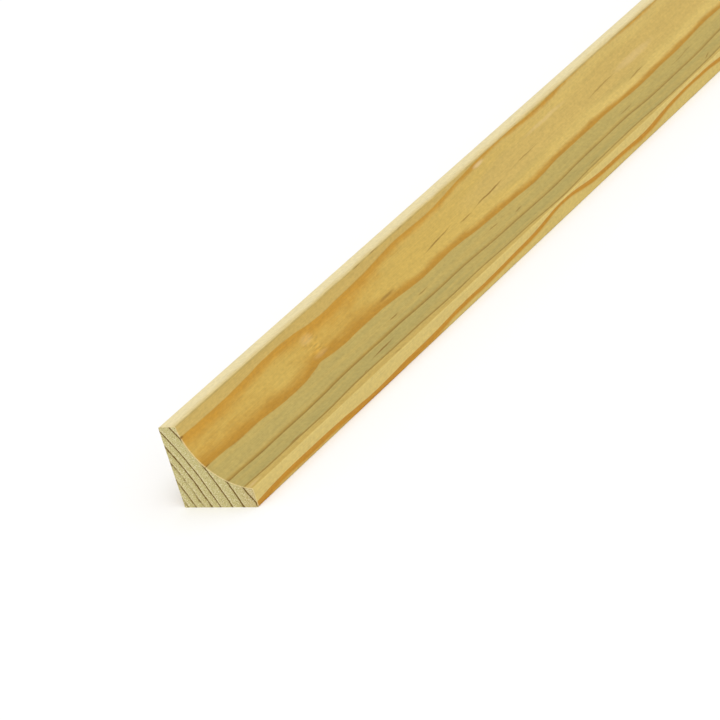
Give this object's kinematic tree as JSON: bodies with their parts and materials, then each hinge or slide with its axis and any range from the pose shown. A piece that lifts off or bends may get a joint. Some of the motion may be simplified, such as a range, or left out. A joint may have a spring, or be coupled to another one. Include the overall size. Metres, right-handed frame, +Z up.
{
  "type": "cove moulding",
  "caption": "Strip of planed softwood with a square back and base, two narrow lands and a hollow cove along its front; sawn square at both ends.",
  "frame": {"origin": "middle of the length and width of the underside", "axes": "+X along the length, +Y out of the upright back face, +Z up from the underside; the cove opens to -Y and +Z"},
  "size_m": [2.4384, 0.0174, 0.0175],
  "materials": {
    "pine": "planed, unfinished"
  },
  "bodies": {
    "root": {"cove_moulding": "pine"}
  },
  "joints": []
}
